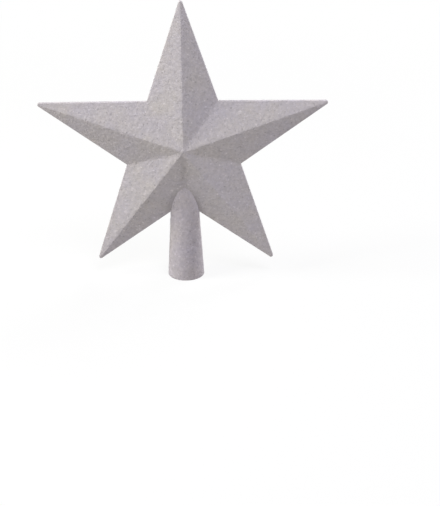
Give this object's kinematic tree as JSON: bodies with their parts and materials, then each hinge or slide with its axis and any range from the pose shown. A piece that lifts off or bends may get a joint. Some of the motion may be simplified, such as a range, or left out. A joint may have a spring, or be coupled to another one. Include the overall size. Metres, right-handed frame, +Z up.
{
  "type": "tree topper star",
  "caption": "Hollow faceted star in two cemented halves on a tapered socket, round at its mouth and flattened at the star, that slips over the top of a tree, all coated in pale glitter.",
  "frame": {"origin": "centre of the socket's mouth, on its rim", "axes": "+Z up along the socket's axis to the star's top arm, -Y to the front, +X to the right seen from the front"},
  "size_m": [0.1886, 0.0242, 0.1914],
  "materials": {
    "shell_plastic": "plain moulded polystyrene",
    "socket_plastic": "plain moulded polystyrene",
    "cement": "dried solvent cement",
    "glitter": "fine pale glitter in clear lacquer"
  },
  "bodies": {
    "root": {"front_shell": "shell_plastic", "rear_shell": "shell_plastic", "trunk_socket": "socket_plastic", "seam_adhesive": "cement", "socket_adhesive": "cement", "front_glitter_coat": "glitter", "rear_glitter_coat": "glitter", "socket_glitter_coat": "glitter"}
  },
  "joints": []
}
